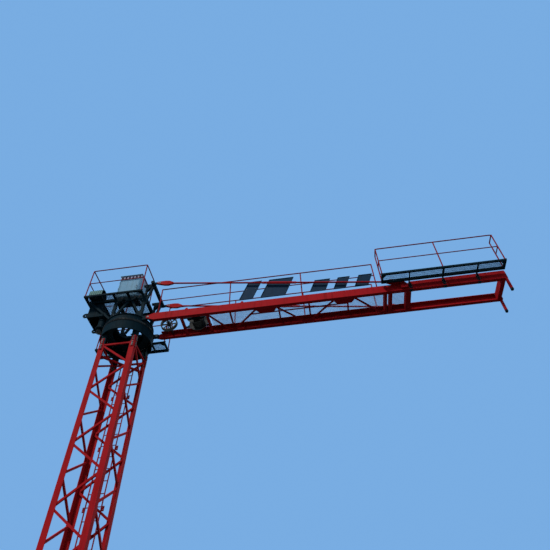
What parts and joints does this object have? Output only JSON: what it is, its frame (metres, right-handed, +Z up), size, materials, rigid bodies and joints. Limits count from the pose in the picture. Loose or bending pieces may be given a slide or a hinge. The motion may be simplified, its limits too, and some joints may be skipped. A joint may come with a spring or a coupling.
{
  "type": "tower crane",
  "caption": "Flat-top tower crane without its jib: square lattice mast on a base frame, geared slewing ring, braced turret with a deck, and a two-beam counter-jib with winch and platforms.",
  "frame": {"origin": "centre of the base frame's underside, on the slewing axis", "axes": "+Z up, +X to the counter-jib's outer end, -Y the side with the side platform"},
  "size_m": [12.1299, 2.07, 28.3903],
  "materials": {
    "red_paint": "glossy red paint, faded and chalky, over steel",
    "dark_paint": "dark green paint, greasy, over steel",
    "gear_steel": "greased dark steel",
    "pin_steel": "zinc-plated steel",
    "grating": "galvanised grating",
    "cabinet_paint": "pale grey-blue paint",
    "vent_metal": "pale grey louvres",
    "cover_paint": "greenish-grey paint",
    "plate_paint": "dark teal sheet metal"
  },
  "bodies": {
    "tower": {"base_frame": "red_paint", "mast_legs_lower": "red_paint", "mast_legs_middle": "red_paint", "mast_legs_upper": "red_paint", "lacing_near": "red_paint", "lacing_far": "red_paint", "lacing_jib_side": "red_paint", "lacing_counter_side": "red_paint", "fishplates": "red_paint", "cross_bars": "red_paint", "ladder": "red_paint", "slewing_support": "dark_paint", "slewing_ring": "gear_steel"},
    "upper": {"turret_drum": "dark_paint", "turret_side_near": "dark_paint", "turret_side_far": "dark_paint", "turret_cross_tubes": "dark_paint", "jib_root": "dark_paint", "pendant_head": "dark_paint", "slewing_drive": "dark_paint", "deck_frame": "dark_paint", "deck_railing": "red_paint", "control_cabinet": "cabinet_paint", "cabinet_vent": "vent_metal", "resistor_cover": "cover_paint", "rear_platform": "dark_paint", "rear_railing": "red_paint", "beam_near": "red_paint", "beam_far": "red_paint", "beam_bracing": "red_paint", "cross_members": "red_paint", "tail_posts": "red_paint", "gratings": "grating", "railing_near": "red_paint", "railing_far": "red_paint", "pendants": "red_paint", "joint_pins": "pin_steel", "name_plates": "plate_paint", "side_platform": "dark_paint", "side_railing": "red_paint", "winch_frame": "dark_paint", "winch_motor": "dark_paint", "cable_reel": "gear_steel"},
    "pinion": {"slewing_pinion": "gear_steel"},
    "hoist": {"hoist_drum": "gear_steel"}
  },
  "joints": [
    {"name": "slewing", "type": "hinge", "parent": "tower", "child": "upper", "pos_m": [0, 0, 26.0403], "axis": [0, 0, 1], "continuous": true},
    {"name": "pinion_spin", "type": "hinge", "parent": "upper", "child": "pinion", "pos_m": [-0.76115, -0.27704, 25.965], "axis": [0, 0, 1], "continuous": true},
    {"name": "hoist_spin", "type": "hinge", "parent": "upper", "child": "hoist", "pos_m": [2.02, 0, 26.3403], "axis": [0, 1, 0], "continuous": true}
  ],
  "couplings": [
    {"joint": "pinion_spin", "follows": "slewing", "ratio": 8}
  ]
}
